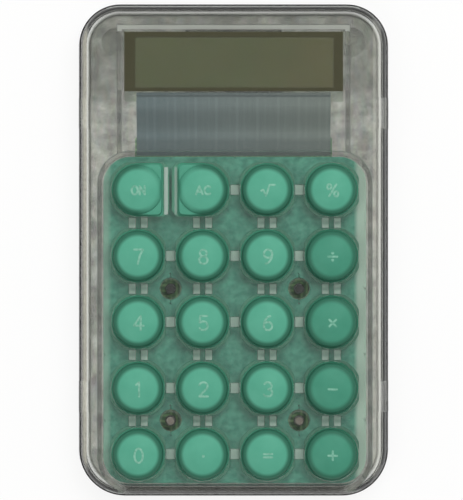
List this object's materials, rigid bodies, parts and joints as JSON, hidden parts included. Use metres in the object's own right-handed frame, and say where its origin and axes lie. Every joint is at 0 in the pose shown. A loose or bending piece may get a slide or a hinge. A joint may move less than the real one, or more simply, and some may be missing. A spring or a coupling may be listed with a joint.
{
  "type": "calculator",
  "caption": "Flat calculator with a clear case, a segment display, a printed ribbon and a keypad of domed round keys on a rubber mat.",
  "frame": {"origin": "on the surface the feet rest on, under the middle of the case", "axes": "+X to the right as the keys are read, +Y towards the display, +Z out of the front"},
  "size_m": [0.075, 0.119, 0.0152],
  "materials": {
    "clear_plastic": "clear, slightly smoky, polished",
    "key_plastic": "satin mint",
    "dark_key_plastic": "satin sea green",
    "mat_rubber": "translucent silicone, satin",
    "foot_rubber": "clear polyurethane, satin",
    "black_steel": "black oxide",
    "bare_steel": "dull, lightly tarnished",
    "gasket_foam": "matt closed-cell foam",
    "polariser_film": "olive film",
    "display_glass": "clear",
    "reflector_film": "satin olive silver",
    "ribbon_film": "printed film",
    "board_laminate": "phenolic paper laminate with a green mask",
    "carbon_ink": "printed, matt",
    "chip_resin": "black resin drop",
    "component_body": "ceramic with tinned ends",
    "cell_steel": "nickel plated",
    "contact_nickel": "nickel plated spring strip"
  },
  "bodies": {
    "case": {"top_shell": "clear_plastic", "bottom_shell": "clear_plastic", "rubber_feet": "foot_rubber", "upper_case_screws": "black_steel", "lower_case_screws": "bare_steel", "display_gasket": "gasket_foam", "front_polariser": "polariser_film", "front_glass": "display_glass", "rear_glass": "display_glass", "reflector": "reflector_film", "display_cushions": "gasket_foam", "ribbon_connector": "ribbon_film", "circuit_board": "board_laminate", "carbon_contacts": "carbon_ink", "driver_chip": "chip_resin", "board_components": "component_body", "key_mat": "mat_rubber", "button_cell": "cell_steel", "negative_contact": "contact_nickel", "positive_contact": "contact_nickel"},
    "key_on": {"key_on": "key_plastic"},
    "key_clear": {"key_clear": "key_plastic"},
    "key_root": {"key_root": "key_plastic"},
    "key_percent": {"key_percent": "key_plastic"},
    "key_7": {"key_7": "key_plastic"},
    "key_8": {"key_8": "key_plastic"},
    "key_9": {"key_9": "key_plastic"},
    "key_divide": {"key_divide": "dark_key_plastic"},
    "key_4": {"key_4": "key_plastic"},
    "key_5": {"key_5": "key_plastic"},
    "key_6": {"key_6": "key_plastic"},
    "key_multiply": {"key_multiply": "dark_key_plastic"},
    "key_1": {"key_1": "key_plastic"},
    "key_2": {"key_2": "key_plastic"},
    "key_3": {"key_3": "key_plastic"},
    "key_minus": {"key_minus": "dark_key_plastic"},
    "key_0": {"key_0": "key_plastic"},
    "key_point": {"key_point": "key_plastic"},
    "key_equals": {"key_equals": "key_plastic"},
    "key_plus": {"key_plus": "dark_key_plastic"},
    "battery_door": {"battery_door": "clear_plastic"}
  },
  "joints": [
    {"name": "key_on_press", "type": "slide", "parent": "case", "child": "key_on", "axis": [0, 0, -1], "range_m": [0, 0.0012], "stiffness_N_per_m": 600, "deforming": ["key_mat"]},
    {"name": "key_clear_press", "type": "slide", "parent": "case", "child": "key_clear", "axis": [0, 0, -1], "range_m": [0, 0.0012], "stiffness_N_per_m": 600, "deforming": ["key_mat"]},
    {"name": "key_root_press", "type": "slide", "parent": "case", "child": "key_root", "axis": [0, 0, -1], "range_m": [0, 0.0012], "stiffness_N_per_m": 600, "deforming": ["key_mat"]},
    {"name": "key_percent_press", "type": "slide", "parent": "case", "child": "key_percent", "axis": [0, 0, -1], "range_m": [0, 0.0012], "stiffness_N_per_m": 600, "deforming": ["key_mat"]},
    {"name": "key_7_press", "type": "slide", "parent": "case", "child": "key_7", "axis": [0, 0, -1], "range_m": [0, 0.0012], "stiffness_N_per_m": 600, "deforming": ["key_mat"]},
    {"name": "key_8_press", "type": "slide", "parent": "case", "child": "key_8", "axis": [0, 0, -1], "range_m": [0, 0.0012], "stiffness_N_per_m": 600, "deforming": ["key_mat"]},
    {"name": "key_9_press", "type": "slide", "parent": "case", "child": "key_9", "axis": [0, 0, -1], "range_m": [0, 0.0012], "stiffness_N_per_m": 600, "deforming": ["key_mat"]},
    {"name": "key_divide_press", "type": "slide", "parent": "case", "child": "key_divide", "axis": [0, 0, -1], "range_m": [0, 0.0012], "stiffness_N_per_m": 600, "deforming": ["key_mat"]},
    {"name": "key_4_press", "type": "slide", "parent": "case", "child": "key_4", "axis": [0, 0, -1], "range_m": [0, 0.0012], "stiffness_N_per_m": 600, "deforming": ["key_mat"]},
    {"name": "key_5_press", "type": "slide", "parent": "case", "child": "key_5", "axis": [0, 0, -1], "range_m": [0, 0.0012], "stiffness_N_per_m": 600, "deforming": ["key_mat"]},
    {"name": "key_6_press", "type": "slide", "parent": "case", "child": "key_6", "axis": [0, 0, -1], "range_m": [0, 0.0012], "stiffness_N_per_m": 600, "deforming": ["key_mat"]},
    {"name": "key_multiply_press", "type": "slide", "parent": "case", "child": "key_multiply", "axis": [0, 0, -1], "range_m": [0, 0.0012], "stiffness_N_per_m": 600, "deforming": ["key_mat"]},
    {"name": "key_1_press", "type": "slide", "parent": "case", "child": "key_1", "axis": [0, 0, -1], "range_m": [0, 0.0012], "stiffness_N_per_m": 600, "deforming": ["key_mat"]},
    {"name": "key_2_press", "type": "slide", "parent": "case", "child": "key_2", "axis": [0, 0, -1], "range_m": [0, 0.0012], "stiffness_N_per_m": 600, "deforming": ["key_mat"]},
    {"name": "key_3_press", "type": "slide", "parent": "case", "child": "key_3", "axis": [0, 0, -1], "range_m": [0, 0.0012], "stiffness_N_per_m": 600, "deforming": ["key_mat"]},
    {"name": "key_minus_press", "type": "slide", "parent": "case", "child": "key_minus", "axis": [0, 0, -1], "range_m": [0, 0.0012], "stiffness_N_per_m": 600, "deforming": ["key_mat"]},
    {"name": "key_0_press", "type": "slide", "parent": "case", "child": "key_0", "axis": [0, 0, -1], "range_m": [0, 0.0012], "stiffness_N_per_m": 600, "deforming": ["key_mat"]},
    {"name": "key_point_press", "type": "slide", "parent": "case", "child": "key_point", "axis": [0, 0, -1], "range_m": [0, 0.0012], "stiffness_N_per_m": 600, "deforming": ["key_mat"]},
    {"name": "key_equals_press", "type": "slide", "parent": "case", "child": "key_equals", "axis": [0, 0, -1], "range_m": [0, 0.0012], "stiffness_N_per_m": 600, "deforming": ["key_mat"]},
    {"name": "key_plus_press", "type": "slide", "parent": "case", "child": "key_plus", "axis": [0, 0, -1], "range_m": [0, 0.0012], "stiffness_N_per_m": 600, "deforming": ["key_mat"]},
    {"name": "battery_door_slide", "type": "slide", "parent": "case", "child": "battery_door", "axis": [0, -1, 0], "range_m": [0, 0.006]}
  ]
}
